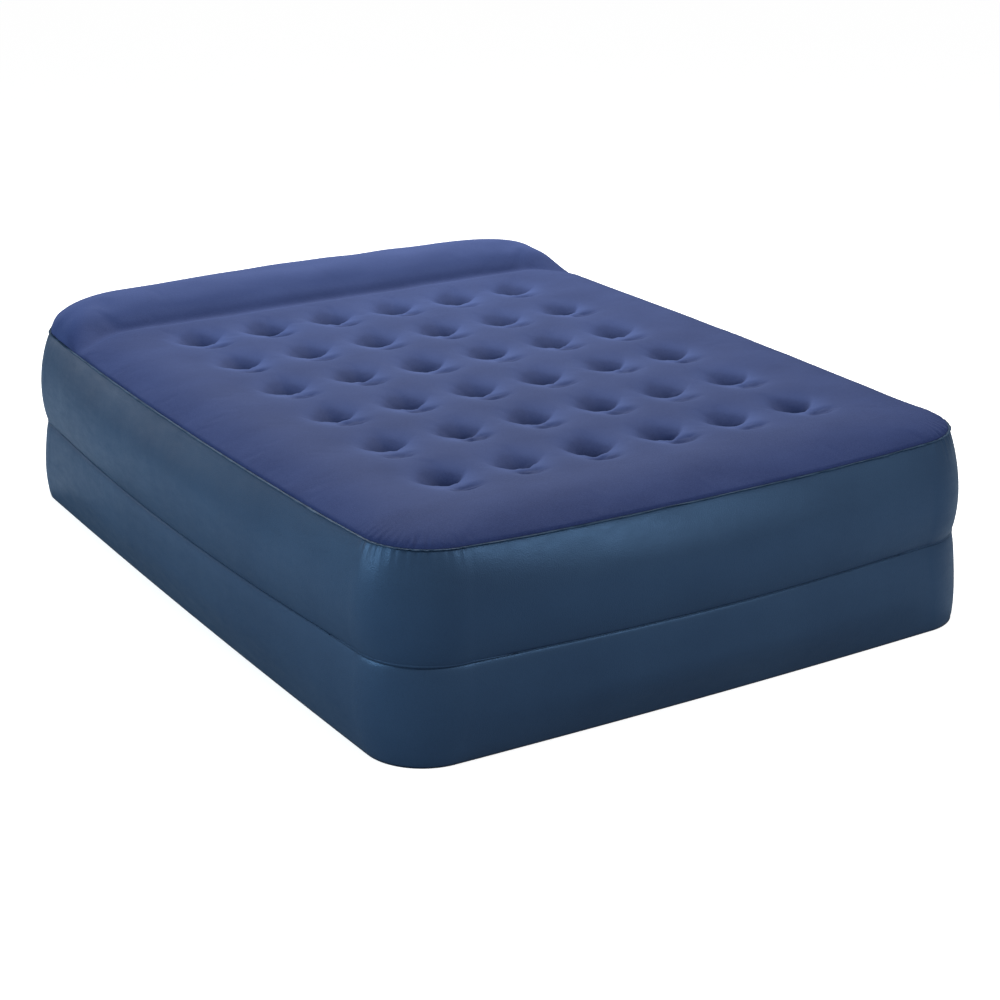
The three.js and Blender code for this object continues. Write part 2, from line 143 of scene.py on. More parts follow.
# Small relief, as heights and wavelengths
WRINKLE = (0.0017, 0.017)  # round the welds
STREAK = (0.0011, 0.045)  # drawn across the pillow
STREAK_STRETCH = (6, 1, 1)
SWAY = (0.0010, 0.16)  # slow swells of the whole top
SWAY_START = 0.05
WALL_SWAY = (0.0012, 0.30)
WALL_STRETCH = (1, 1, 0.5)
TOP_PUCKER = (0.0036, 0.020)  # height at the seam, and how far it reaches
WALL_PUCKER = (0.0040, 0.018)
PUCKER_START = 0.004  # the weld itself is flat
LIP_PUCKER = 0.0016
PUCKER_COARSE = 46  # two trains of waves, per radian of the corner
PUCKER_FINE = 73
FINE_SHARE = 0.7  # the fine train's height against the coarse one's
PUCKER_PATCHES = 9
PATCH_DEPTH = 0.3
PUCKER_FADE = (-0.35, 0.30)  # in radians from each end of a corner, where the puckers grow
LIP_WAVE = (0.0009, 0.11)
LIP_WANDER = (0.0006, 0.05)
LIP_PHASE = 0.4
LIP_OUT = 0.0062
LIP_PROFILE = (
    (0.0, 0.0010), (0.0035, 0.0011), (0.0056, 0.0008), (LIP_OUT, 0.0),
    (0.0056, -0.0009), (0.0035, -0.0012), (0.0, -0.0014), (-0.0015, 0.0),
)

# How the painted shade in the bowls and the painted highlight on the crests follow from the relief
FULL_BOWL = 0.021
CREST_BASIN = 0.016
CREST_EDGE = 0.005

# Side walls
WAIST_OUTSET = 0.020
FLOOR_OUTSET = 0.018
FLOOR_CORNER = 0.125  # the corners turn tighter down at the floor
CORNER_POWER = 1.5  # and change most near it
CORNER_PULL = 0.3  # the share of a wall's bulge that its corners lose
WALL_LEVELS = 34
UPPER_BULGE = 0.025
UPPER_FULLNESS = 0.7  # a lower power makes a boxier bulge
LOWER_BULGE = 0.016
LOWER_FULLNESS = 0.5
UPPER_BOWS = (SEAM_BOW, 0.036, 0.036)  # at the seam, mid-height and waist
LOWER_BOWS = (0.036, 0.030, 0.009)  # at the waist, mid-height and floor
BOW_MIDDLE = 0.45  # where on the way down the middle bow is
BOW_START = -0.1  # below 0, so the bow already changes at the wall's top
WALL_TOP_GAP = 0.0004
WAIST_DROOP = 0.004  # the waist hangs a little lower at the corners
FLANGE_REACH = 0.046  # the wall lies flat this far round the valve's axis
FLANGE_FADE = 2.6  # and is back to its own shape at this many times that reach
FLANGE_GAP = 0.0002
SUNK_SHARE = 0.5  # of the upper wall's height is left once it has sunk
NECK_CLEARANCE = 0.030
ARC_STEPS = 22  # per half corner
SHORT_STEPS = 112
LONG_STEPS = 150
RIM_STEP = 0.002  # how far a flat sheet's rounded rim reaches in
PARTITION_RIM = 0.003
UNDERSIDE_RIM = 0.002
FILL_SHARES = (0.9, 0.6, 0.3, 0.02)  # a flat sheet's inner rings

# Coils, web and beams
COIL_RADIUS = 0.037  # at the top weld
COIL_FLARE = 0.012  # wider by this at the partition
COIL_WAIST = 0.007  # and narrower by this half-way
COIL_DROP = 0.010  # the visual coil starts this far below the CAD coil's top
COIL_SIDES = 24
COIL_RINGS = 9
WEB_WAVE = (0.004, 0.06)
WEB_COLUMNS = 90
WEB_ROWS = 10

# Camera and light
CAMERA_TARGET = (-0.1226, -0.3404, 0.249)
CAMERA_AZIMUTH = -31.67
CAMERA_ELEVATION = 20.28
CAMERA_DISTANCE = 4.726
CAMERA_LENS = 78.0
WORLD_DIFFUSE = 0.36
WORLD_GLOSSY = 0.10
FLOOR_HALF = 30.0
FLOOR_GLOW = 0.66  # light of the floor's own, for the camera only
FLOOR_BOUNCE = (0.28, 0.35, 0.42, 1)  # its colour for every other ray

rng = np.random.default_rng(7)


def smoothstep(low, high, value):
    t = np.clip((value - low) / (high - low), 0.0, 1.0)
    return t * t * (3 - 2 * t)


def bell(value, width, power=2):
    """A hump that is 1 at 0 and falls off over the width; a higher power makes its top flatter."""
    return np.exp(-np.abs(value / width) ** power)


def quarter_ellipse(t):
    inward = 1 - np.clip(t, 0.0, 1.0)
    return np.sqrt(1 - inward * inward)


class Ripples:
    """A smooth field of random waves, about 1 high, with wavelengths near the one given."""

    def __init__(self, wavelength, stretch=(1.0, 1.0, 1.0), count=9):
        direction = rng.normal(size=(count, 3))
        direction /= np.linalg.norm(direction, axis=1)[:, None]
        length = wavelength * rng.uniform(0.7, 1.6, count)
        self.k = 2 * np.pi * direction / length[:, None] / np.array(stretch)
        self.phase = rng.uniform(0, 2 * np.pi, count)

    def __call__(self, points):
        waves = np.sin(points @ self.k.T + self.phase)
        return waves.sum(axis=-1) / math.sqrt(len(self.phase))


def ripple_field(wave, points, stretch=(1.0, 1.0, 1.0)):
    height, wavelength = wave
    return height * Ripples(wavelength, stretch)(points)


# --- the outline of the bed, as samples that every level shares ---

def side_samples(straight_steps):
    """(t, angle) along one side: t runs over the straight stretch, angle over the two half corners."""
    arc = np.linspace(0, np.pi / 4, ARC_STEPS + 1)
    straight = np.linspace(-1, 1, straight_steps + 1)
    t = np.concatenate([-np.ones(ARC_STEPS), straight, np.ones(ARC_STEPS - 1)])
    angle = np.concatenate([-arc[:0:-1], np.zeros(straight_steps + 1), arc[1:-1]])
    return t, angle


def outline_samples():
    parts = []
    for side in range(4):
        t, angle = side_samples(SHORT_STEPS if side % 2 == 0 else LONG_STEPS)
        parts.append((np.full(len(t), side), t, angle))
    return [np.concatenate(column) for column in zip(*parts)]


SIDE, ALONG, ANGLE = outline_samples()


def outline(outset, bow, radius=None):
    """Plan points of the rounded outline and their outward directions; it starts at the -X -Y corner."""
    radius = radius or CORNER + outset
    half_along = np.where(SIDE % 2 == 0, HALF_X, HALF_Y) + outset
    half_out = np.where(SIDE % 2 == 0, HALF_Y, HALF_X) + outset
    straight = half_along - radius
    a = ALONG * straight + radius * np.sin(ANGLE)
    b = -half_out - bow * (1 - ALONG ** 2) + radius * (1 - np.cos(ANGLE))
    lean = np.where(ANGLE == 0, -2 * bow * ALONG / straight, 0.0)
    normal_a = np.sin(ANGLE) - lean
    normal_b = -np.cos(ANGLE)
    turn = SIDE * np.pi / 2
    c, s = np.cos(turn), np.sin(turn)
    points = np.stack([a * c - b * s, a * s + b * c], axis=-1)
    normals = np.stack([normal_a * c - normal_b * s, normal_a * s + normal_b * c], axis=-1)
    return points, normals / np.linalg.norm(normals, axis=-1, keepdims=True)


def corner_share(points):
    """1 at the four corners of the bed, 0 away from them."""
    x_corner = smoothstep(HALF_X - CORNER_REACH, HALF_X, np.abs(points[..., 0]))
    y_corner = smoothstep(HALF_Y - CORNER_REACH, HALF_Y, np.abs(points[..., 1]))
    return x_corner * y_corner


def corner_pucker(points, phase=0.0):
    """Ripples round the four corners of the seam, from -1 to 1, that fade out along the straight sides."""
    x, y = np.abs(points[..., 0]), np.abs(points[..., 1])
    theta = np.arctan2(y - (HALF_Y - CORNER), x - (HALF_X - CORNER))
    mask = smoothstep(*PUCKER_FADE, theta) * smoothstep(*PUCKER_FADE, np.pi / 2 - theta)
    which = np.sign(points[..., 0]) + 2 * np.sign(points[..., 1])  # so that each corner is different
    coarse = np.sin(PUCKER_COARSE * theta + which * 1.7 + phase)
    fine = np.sin(PUCKER_FINE * theta + which * 2.9 + 2 * phase)
    patches = 1 - PATCH_DEPTH + PATCH_DEPTH * np.sin(PUCKER_PATCHES * theta + which * 2.3 + phase)
    return mask * patches * (coarse + FINE_SHARE * fine) / (1 + FINE_SHARE)


def puckers_from_seam(pucker, points, distance):
    """The corner puckers, highest just past the weld and fading with the distance from it."""
    height, reach = pucker
    fade = np.exp(-distance / reach) * smoothstep(0, PUCKER_START, distance)
    return height * corner_pucker(points) * fade


# --- meshes ---

def new_mesh_object(name, points, faces):
    mesh = bpy.data.meshes.new(name)
    mesh.from_pydata(np.asarray(points).reshape(-1, 3).tolist(), [], faces)
    mesh.validate()
    mesh.shade_smooth()
    obj = bpy.data.objects.new(name, mesh)
    bpy.context.scene.collection.objects.link(obj)
    return obj


def grid_faces(rows, columns, wrap=False, turned=False):
    """Quads of a grid of points; wrap joins the last column to the first, turned flips every face."""
    faces = []
    for row in range(rows - 1):
        for column in range(columns if wrap else columns - 1):
            a = row * columns + column
            b = row * columns + (column + 1) % columns
            face = (a, a + columns, b + columns, b)
            faces.append(face[::-1] if turned else face)
    return faces


def flat_ring(plan, height):
    return np.column_stack([plan, np.full(len(plan), height)])


def vertex_points(mesh):
    return np.array([vertex.co for vertex in mesh.vertices])


def move_vertices(mesh, points):
    mesh.vertices.foreach_set("co", points.ravel())
    mesh.update()


def apply_modifier(obj, kind, **settings):
    modifier = obj.modifiers.new(kind.title(), kind)
    for key, value in settings.items():
        setattr(modifier, key, value)
    graph = bpy.context.evaluated_depsgraph_get()
    old = obj.data
    obj.data = bpy.data.meshes.new_from_object(obj.evaluated_get(graph))
    obj.modifiers.clear()
    bpy.data.meshes.remove(old)


def give_thickness(obj, thickness, offset=-1.0):
    apply_modifier(obj, "SOLIDIFY", thickness=thickness, offset=offset, use_even_offset=False)


def dress(obj, body, slot, material, *replaced):
    obj.data.materials.clear()
    obj.data.materials.append(material)
    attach(obj, body)
    if replaced:
        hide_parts(*replaced)


def flatten(obj):
    """Gives the piece a mesh of its own."""
    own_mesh(obj)


# --- the top sheet ---

def graded_lines(half):
    """Grid lines from -half to half: even inside, and by equal turns of the rounded edge in the margin."""
    phi = np.linspace(0, np.pi / 2, MARGIN_STEPS + 1)
    edge = half - MARGIN * (1 - np.cos(phi))
    inner = half - MARGIN
    steps = round(2 * inner / GRID_STEP)
    return np.concatenate([-edge, np.linspace(-inner, inner, steps + 1)[1:-1], edge[::-1]])


def warp_to_outline(x, y):
    """Bends a rectangle's grid so that its rim becomes the rounded, bowed outline."""
    to_side, to_end = HALF_X - np.abs(x), HALF_Y - np.abs(y)
    depth = np.minimum(to_side, to_end)
    on_side = to_side < to_end
    half = np.where(on_side, HALF_Y, HALF_X)
    along = np.where(on_side, y, x)
    share = along / (half - depth)
    reach = np.abs(share) * half
    straight = half - CORNER
    angle = np.clip(reach - straight, 0, None) / CORNER * np.pi / 4
    shift_along = np.where(angle > 0, straight + CORNER * np.sin(angle) - reach, 0.0) * np.sign(share)
    bow = SEAM_BOW * (1 - np.clip(reach / straight, 0, 1) ** 2)
    shift_out = bow - CORNER * (1 - np.cos(angle))
    weight = 1 - smoothstep(0, WARP_REACH, depth)
    out = np.where(on_side, np.sign(x), np.sign(y)) * shift_out
    dx = np.where(on_side, out, shift_along) * weight
    dy = np.where(on_side, shift_along, out) * weight
    return x + dx, y + dy, depth


def crease_line(x):
    """The pillow's front edge runs straight across and bends towards the foot at both sides."""
    return CREASE_Y - CREASE_HOOK * smoothstep(HOOK_FROM, HOOK_TO, np.abs(x))


def rise(x, y):
    """Height of the sleeping surface, crease and pillow above the seam, before the edge rounds it off."""
    crease = crease_line(x)
    low = CROWN_RISE + (CREASE_RISE - CROWN_RISE) * smoothstep(crease - CREASE_DIP, crease, y)
    start = smoothstep(SLOPE_START, 1.0, 0.0)
    slope = (smoothstep(SLOPE_START, 1.0, (y - crease) / PILLOW_ROUNDING) - start) / (1 - start)
    peak = PILLOW_Z - SEAM_Z + PILLOW_PEAK - PILLOW_DROOP * (x / HALF_X) ** 2
    return low + (peak - CREASE_RISE) * slope * (y > crease)


def coil_nodes():
    return sorted(name for name in frame["nodes"] if name.startswith("air_coil"))


def dimple_centres():
    """Where each coil stands, with a turn, a strength and a drift of its pocket that are its own."""
    for name in coil_nodes():
        low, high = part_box(name)
        turn = rng.normal(0, TURN_SPREAD)
        strength = rng.uniform(*STRENGTH_RANGE)
        yield (low + high) / 2, turn, strength, rng.normal(0, DRIFT_SPREAD, 2)


DIMPLES = list(dimple_centres())


def bowl_depth(p, rim):
    """A bowl that deepens gently from the head side and ends in a sharp rim, with a low swell before it."""
    along = np.where(rim > 0, bell(rim, BOWL_FAR_SLOPE, FAR_SLOPE_POWER), bell(rim, BOWL_NEAR_SLOPE))
    swell = bell(rim + SWELL_SHIFT, SWELL_SIZE[1]) * bell(p, SWELL_SIZE[0])
    return BOWL_DEPTH * bell(p, BOWL_WIDTH, BOWL_POWER) * along - SWELL_HEIGHT * swell


def dimple_relief(x, y):
    """How far the coils pull the surface down, as wide basins and the dimples in them, and the weld patches.

    A dimple is a bowl and, past its rim towards the foot, a shallower pocket.
    """
    basins, dimples, weld = np.zeros_like(x), np.zeros_like(x), np.zeros_like(x)
    for centre, turn, strength, drift in DIMPLES:
        c, s = math.cos(turn), math.sin(turn)
        p = (x - centre.x) * c + (y - centre.y) * s
        q = -(x - centre.x) * s + (y - centre.y) * c
        basins += strength * BASIN_DEPTH * bell(p, BASIN_SIZE[0]) * bell(q + BASIN_SHIFT, BASIN_SIZE[1])
        rim = q + RIM_SHIFT - RIM_CURVE * (p / RIM_HALF) ** 2
        u = (p - POCKET_AT[0] - drift[0]) / POCKET_SIZE[0]
        v = (q - POCKET_AT[1] - drift[1]) / POCKET_SIZE[1]
        edge = u * u * (1 + POCKET_TAPER * np.clip(v, -1, 1)) + v * v
        dimples += strength * (bowl_depth(p, rim) + POCKET_DEPTH * np.exp(-edge ** POCKET_POWER))
        under_bowl = bell(p, WELD_SIZE[0], WELD_POWER) * bell(rim, WELD_SIZE[1], WELD_POWER)
        weld = np.maximum(weld, np.maximum(np.exp(-edge ** 2), under_bowl))
    return basins, dimples, weld


def top_points():
    """The grid of the top before its small relief, and how firmly the cloth is held at each point."""
    y, x = np.meshgrid(graded_lines(HALF_Y), graded_lines(HALF_X), indexing="ij")
    x, y, depth = warp_to_outline(x, y)
    edge = quarter_ellipse(depth / MARGIN)
    basins, _, weld = dimple_relief(x, y)
    flat = np.stack([x, y, np.zeros_like(x)], axis=-1)
    z = SEAM_Z + CORNER_LIFT * corner_share(flat) + (rise(x, y) - basins) * edge
    near_crease = bell(y - crease_line(x), CREASE_HOLD, 4)
    hold = np.maximum(weld, np.maximum(near_crease, depth < SEAM_HOLD))
    return np.stack([x, y, z], axis=-1), hold


def rim_depth(x, y):
    """Distance inwards from the seam, for points anywhere on the top."""
    to_side, to_end = HALF_X + SEAM_BOW - np.abs(x), HALF_Y + SEAM_BOW - np.abs(y)
    centre_x, centre_y = HALF_X - CORNER, HALF_Y - CORNER
    round_x, round_y = np.maximum(np.abs(x) - centre_x, 0), np.maximum(np.abs(y) - centre_y, 0)
    to_corner = CORNER - np.hypot(round_x, round_y)
    in_corner = (round_x > 0) & (round_y > 0)
    straight = np.minimum(
        to_side - SEAM_BOW * np.clip(y / centre_y, -1, 1) ** 2,
        to_end - SEAM_BOW * np.clip(x / centre_x, -1, 1) ** 2,
    )
    return np.clip(np.where(in_corner, to_corner, straight), 0, None)


def pillow_share(y):
    return smoothstep(CREASE_Y, CREASE_Y + PILLOW_EDGE, y)


def fine_relief(points):
    """Dimples with small wrinkles, drawn streaks on the pillow, slow swells, and puckers at the corners."""
    x, y = points[:, 0], points[:, 1]
    flat = points * (1, 1, 0)
    depth = rim_depth(x, y)
    _, dimples, weld = dimple_relief(x, y)
    relief = weld * ripple_field(WRINKLE, flat) - dimples
    relief += pillow_share(y) * ripple_field(STREAK, flat, STREAK_STRETCH)
    relief += ripple_field(SWAY, flat) * smoothstep(0, SWAY_START, depth)
    return relief + puckers_from_seam(TOP_PUCKER, flat, depth)


def paint_relief_shading(mesh, points):
    """Paints light and shade into the flock: 1 in a bowl is painted shade, 0 on a crest is painted
    highlight, 0.5 on the plain top; the pillow gets half the highlight.
    """
    basins, dimples, _ = dimple_relief(points[:, 0], points[:, 1])
    # painted shade, strongest at the bottom of a bowl
    bowl_shade = np.clip(dimples / FULL_BOWL, 0, 1) ** 2
    # painted highlight on the crests between the bowls, and a weaker one on the pillow
    crest_highlight = smoothstep(0.0, CREST_BASIN, basins) * (1 - np.clip(dimples / CREST_EDGE, 0, 1))
    painted_highlight = np.maximum(crest_highlight, 0.5 * pillow_share(points[:, 1]))
    painted_shading = 0.5 + 0.5 * bowl_shade - 0.5 * painted_highlight
    attribute = mesh.attributes.new("painted_shading", "FLOAT", "POINT")
    attribute.data.foreach_set("value", painted_shading.astype(np.float32))


def make_top_sheet(material):
    points, hold = top_points()
    faces = grid_faces(*points.shape[:2], turned=True)
    top = new_mesh_object("flocked_top", points, faces)
    relax_sheet(top, hold.ravel())
    apply_modifier(top, "SUBSURF", levels=1)
    mesh_points = vertex_points(top.data)
    # paints shade into the bowls and highlights onto the crests and the pillow
    paint_relief_shading(top.data, mesh_points)
    mesh_points[:, 2] += fine_relief(mesh_points)
    move_vertices(top.data, mesh_points)
    give_thickness(top, SKIN)
    dress(top, "top", "flocked_top", material, "top_sheet")


def make_seam_lip(material):
    """The welded flange round the top: a thin band with rolled edges and a slight wave."""
    wave = Ripples(LIP_WAVE[1])
    wander = Ripples(LIP_WANDER[1])
    rings = []
    for out, up in LIP_PROFILE:
        plan, normal = outline(out, SEAM_BOW)
        ring = flat_ring(plan, 0.0)
        share = max(out, 0) / LIP_OUT
        z = SEAM_Z + CORNER_LIFT * corner_share(ring) + up
        z = z + share * (LIP_WAVE[0] * wave(ring) + LIP_PUCKER * corner_pucker(ring, LIP_PHASE))
        moved = plan + normal * (share * LIP_WANDER[0] * wander(ring))[:, None]
        rings.append(np.column_stack([moved, z]))
    count = len(rings[0])
    faces = grid_faces(len(rings), count, wrap=True, turned=True)
    last = (len(rings) - 1) * count
    for i in range(count):
        j = (i + 1) % count
        faces.append((last + i, last + j, j, i))
    lip = new_mesh_object("seam_lip", np.array(rings), faces)
    dress(lip, "top", "wall_vinyl", material)


# --- the side walls ---

def three_way(t, values):
    """A smooth run through three values at t = 0, BOW_MIDDLE and 1."""
    first, middle, last = values
    return np.where(
        t < BOW_MIDDLE,
        first + (middle - first) * smoothstep(BOW_START, BOW_MIDDLE, t),
        middle + (last - middle) * smoothstep(BOW_MIDDLE, 1.0, t),
    )


def wall_points(heights, outsets, bulge, fullness, bows, corners):
    """Rings of a wall from top to bottom, their outward directions, and how far down each ring is, 0 to 1.

    heights, outsets and corners each hold the value at the wall's top and at its bottom.
    """
    t = (1 - np.cos(np.linspace(0, np.pi, WALL_LEVELS))) / 2
    points, normals = [], []
    for share in t:
        swell = bulge * max(math.sin(math.pi * share), 0.0) ** fullness
        outset = outsets[0] + (outsets[1] - outsets[0]) * share + swell
        tight = corners[0] + (corners[1] - corners[0]) * share ** CORNER_POWER
        plan, normal = outline(outset, float(three_way(share, bows)), tight + swell)
        pulled_in = CORNER_PULL * swell * np.sin(2 * np.abs(ANGLE)) ** 2
        plan = plan - normal * pulled_in[:, None]
        points.append(flat_ring(plan, heights[0] + (heights[1] - heights[0]) * share))
        normals.append(flat_ring(normal, 0.0))
    return np.array(points), np.array(normals), t


def wall_sway(points, t):
    return ripple_field(WALL_SWAY, points, WALL_STRETCH) * np.sin(np.pi * t)[:, None] ** 0.5


def valve_axis():
    """The middle of the valve's seat on the wall, and the direction that the valve points."""
    hinge = next(joint for joint in frame["joints"] if joint["name"] == "collar_turn")
    return np.array(hinge["pos_m"]), np.array(hinge["axis"])


def lay_flat_behind_valve(points):
    """Keeps the wall behind the valve's seat, also once the wall has sunk to half its height."""
    seat, axis = valve_axis()
    proud = np.maximum((points - seat) @ axis + FLANGE_GAP, 0)
    offset = (points - seat - proud[..., None] * axis) * (1, 1, SUNK_SHARE)
    across = np.linalg.norm(offset, axis=-1)
    hold = 1 - smoothstep(FLANGE_REACH, FLANGE_FADE * FLANGE_REACH, across)
    return points - axis * (hold * proud)[..., None]


def clear_of_neck(points, faces):
    """The faces that leave a hole for the valve's neck."""
    centres = points.reshape(-1, 3)[np.array(faces)].mean(axis=1)
    clear = np.linalg.norm(centres - valve_axis()[0], axis=1) > NECK_CLEARANCE
    return [face for face, keep in zip(faces, clear) if keep]


def make_upper_wall(material):
    points, normals, t = wall_points(
        (SEAM_Z - WALL_TOP_GAP, WAIST_Z + FILM), (0.0, WAIST_OUTSET), UPPER_BULGE, UPPER_FULLNESS,
        UPPER_BOWS, (CORNER, CORNER + WAIST_OUTSET))
    push = puckers_from_seam(WALL_PUCKER, points, SEAM_Z - points[..., 2]) + wall_sway(points, t)
    points = points + normals * push[..., None]
    lift = CORNER_LIFT * (1 - t)[:, None] - WAIST_DROOP * t[:, None]
    points[..., 2] += corner_share(points) * lift
    points = lay_flat_behind_valve(points)
    faces = grid_faces(*points.shape[:2], wrap=True)
    wall = new_mesh_object("upper_wall", points, clear_of_neck(points, faces))
    give_thickness(wall, SKIN)
    dress(wall, "top", "wall_vinyl", material, "upper_side_wall")
    flatten(wall)


def make_lower_wall(material):
    points, normals, t = wall_points(
        (WAIST_Z - FILM, FLOOR_Z + SKIN), (WAIST_OUTSET, FLOOR_OUTSET), LOWER_BULGE, LOWER_FULLNESS,
        LOWER_BOWS, (CORNER + WAIST_OUTSET, FLOOR_CORNER))
    points = points + normals * wall_sway(points, t)[..., None]
    points[..., 2] -= corner_share(points) * WAIST_DROOP * (1 - t)[:, None]
    faces = grid_faces(*points.shape[:2], wrap=True)
    wall = new_mesh_object("lower_wall", points, faces)
    give_thickness(wall, SKIN)
    dress(wall, "base", "wall_vinyl", material, "lower_side_wall")
    flatten(wall)


def make_flat_sheet(name, outset, bow, corner, z, droop=0.0):
    """A sheet that fills the outline at one height, with a rounded rim."""
    rings = []
    for out, height in ((outset, z), (outset - RIM_STEP, z + SKIN / 2)):
        ring = flat_ring(outline(out, bow, corner)[0], height)
        ring[:, 2] -= droop * corner_share(ring)
        rings.append(ring)
    for share in FILL_SHARES:
        rings.append(flat_ring(rings[1][:, :2] * share, z + SKIN / 2))
    upper = np.array(rings)
    lower = upper[::-1].copy()
    lower[..., 2] = 2 * z - lower[..., 2]
    points = np.concatenate([lower[:-1], upper])
    rows, columns = points.shape[:2]
    faces = grid_faces(rows, columns, wrap=True, turned=True)
    faces.append(tuple(range(columns)))
    faces.append(tuple(range(rows * columns - 1, (rows - 1) * columns - 1, -1)))
    return new_mesh_object(name, points, faces)


def make_partition(material):
    sheet = make_flat_sheet("partition", WAIST_OUTSET + PARTITION_RIM, UPPER_BOWS[2], CORNER + WAIST_OUTSET,
                            WAIST_Z, WAIST_DROOP)
    dress(sheet, "partition", "inner_vinyl", material, "mid_sheet")


def make_underside(material):
    sheet = make_flat_sheet("underside", FLOOR_OUTSET + UNDERSIDE_RIM, LOWER_BOWS[2], FLOOR_CORNER,
                            FLOOR_Z + SKIN / 2)
    dress(sheet, "base", "base_vinyl", material, "bottom_sheet")


# --- the hidden coils, web and beams ---

def make_coils(material):
    """Tubes between the top sheet and the partition, slightly waisted."""
    angle = np.linspace(0, 2 * np.pi, COIL_SIDES, endpoint=False)
    for node in coil_nodes():
        low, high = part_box(node)
        centre = (low + high) / 2
        top_z = high.z - COIL_DROP
        rings = []
        for share in np.linspace(0, 1, COIL_RINGS):
            radius = COIL_RADIUS + COIL_FLARE * share - COIL_WAIST * math.sin(math.pi * share)
            plan = np.column_stack([centre.x + radius * np.cos(angle), centre.y + radius * np.sin(angle)])
            rings.append(flat_ring(plan, top_z + (low.z - top_z) * share))
        faces = grid_faces(COIL_RINGS, COIL_SIDES, wrap=True, turned=True)
        coil = new_mesh_object(node.removeprefix("air_"), np.array(rings), faces)
        give_thickness(coil, FILM)
        dress(coil, "top", "inner_vinyl", material, node)
        flatten(coil)


def make_web(node, body, anchor_z, material):
    """A standing sheet with a gentle wave, in the place of a flat CAD web."""
    low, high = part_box(node)
    x = np.linspace(low.x, high.x, WEB_COLUMNS)
    z = np.linspace(low.z, high.z, WEB_ROWS)
    grid_z, grid_x = np.meshgrid(z, x, indexing="ij")
    bend = np.sin(np.pi * (grid_z - low.z) / (high.z - low.z))
    y = (low.y + high.y) / 2 + WEB_WAVE[0] * bend * np.sin(grid_x / WEB_WAVE[1])
    points = np.stack([grid_x, y, grid_z], axis=-1)
    web = new_mesh_object(f"{node}_sheet", points, grid_faces(WEB_ROWS, WEB_COLUMNS))
    give_thickness(web, FILM, offset=0.0)
    dress(web, body, "inner_vinyl", material, node)
    flatten(web)


def make_webs(material):
    web_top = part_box("pillow_web")[1].z
    make_web("pillow_web", "top", web_top, material)
    for node in sorted(name for name in frame["nodes"] if name.startswith("lower_beam")):
        make_web(node, "base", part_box(node)[0].z, material)


# --- cloth ---

def hold_points(obj, cloth, hold):
    group = obj.vertex_groups.new(name="held")
    for index, weight in enumerate(hold):
        if weight > 0:
            group.add([index], float(weight), "REPLACE")
    cloth.settings.vertex_group_mass = group.name


def set_cloth(cloth):
    settings = cloth.settings
    settings.quality = 4
    settings.mass = 0.25
    settings.tension_stiffness = 25
    settings.compression_stiffness = 25
    settings.shear_stiffness = 8
    settings.bending_stiffness = 0.6
    settings.tension_damping = 12
    settings.compression_damping = 12
    settings.shrink_min = -0.0005
    settings.use_pressure = True
    settings.uniform_pressure_force = 1.5
    settings.effector_weights.gravity = 0
    cloth.collision_settings.use_collision = False
    cloth.collision_settings.use_self_collision = False
    cloth.point_cache.frame_end = CLOTH_FRAMES


def relax_sheet(obj, hold):
    """Lets the sheet swell as cloth between the points that hold it; no point moves further than the cap."""
    start = vertex_points(obj.data)
    cloth = obj.modifiers.new("Cloth", "CLOTH")
    hold_points(obj, cloth, hold)
    set_cloth(cloth)
    for frame_number in range(1, CLOTH_FRAMES + 1):
        bpy.context.scene.frame_set(frame_number)
    graph = bpy.context.evaluated_depsgraph_get()
    move = vertex_points(obj.evaluated_get(graph).data) - start
    obj.modifiers.clear()
    obj.vertex_groups.clear()
    length = np.linalg.norm(move, axis=1, keepdims=True)
    move *= np.minimum(1, CLOTH_CAP / np.maximum(length, 1e-9))
    move_vertices(obj.data, start + move)
    bpy.context.scene.frame_set(1)


# --- materials ---

class Recipe:
    """A short way to write a node material."""

    def __init__(self, name):
        self.material = bpy.data.materials.new(name)
        self.material.use_nodes = True
        self.tree = self.material.node_tree
        self.surface = self.tree.nodes["Principled BSDF"]
        self.place = self.tree.nodes.new("ShaderNodeTexCoord").outputs["Object"]

    def node(self, kind, inputs=None, **settings):
        made = self.tree.nodes.new(kind)
        for key, value in settings.items():
            setattr(made, key, value)
        for key, value in (inputs or {}).items():
            self.feed(made.inputs[key], value)
        return made

    def feed(self, socket, value):
        if isinstance(value, bpy.types.NodeSocket):
            self.tree.links.new(value, socket)
        else:
            socket.default_value = value

    def set(self, **inputs):
        for key, value in inputs.items():
            self.feed(self.surface.inputs[key.replace("_", " ")], value)

    def stretched(self, x, y, z):
        return self.node("ShaderNodeMapping", {"Vector": self.place, "Scale": (x, y, z)}).outputs["Vector"]

    def noise(self, scale, detail=2.0, roughness=0.5, place=None):
        inputs = {"Vector": place or self.place, "Scale": scale, "Detail": detail, "Roughness": roughness}
        return self.node("ShaderNodeTexNoise", inputs).outputs["Fac"]

    def cells(self, scale):
        return self.node("ShaderNodeTexVoronoi", {"Vector": self.place, "Scale": scale}).outputs["Distance"]

    def remap(self, value, low, high, to_low=0.0, to_high=1.0):
        inputs = {"Value": value, "From Min": low, "From Max": high, "To Min": to_low, "To Max": to_high}
        return self.node("ShaderNodeMapRange", inputs).outputs["Result"]

    def mix(self, share, first, second):
        made = self.node("ShaderNodeMix", data_type="RGBA")
        self.feed(made.inputs[0], share)
        self.feed(made.inputs[6], first)
        self.feed(made.inputs[7], second)
        return made.outputs[2]

    def mottle(self, noise, tones, low=0.35, high=0.65):
        """Patches of two close tones."""
        return self.mix(self.remap(noise, low, high), *tones)

    def bump(self, height, distance, strength=1.0, below=None):
        inputs = {"Height": height, "Distance": distance, "Strength": strength}
        if below is not None:
            inputs["Normal"] = below
        return self.node("ShaderNodeBump", inputs).outputs["Normal"]


def colour(red, green, blue):
    """A colour from its 0-255 screen values."""
    def linear(value):
        value /= 255
        return value / 12.92 if value <= 0.04045 else ((value + 0.055) / 1.055) ** 2.4
    return (linear(red), linear(green), linear(blue), 1.0)


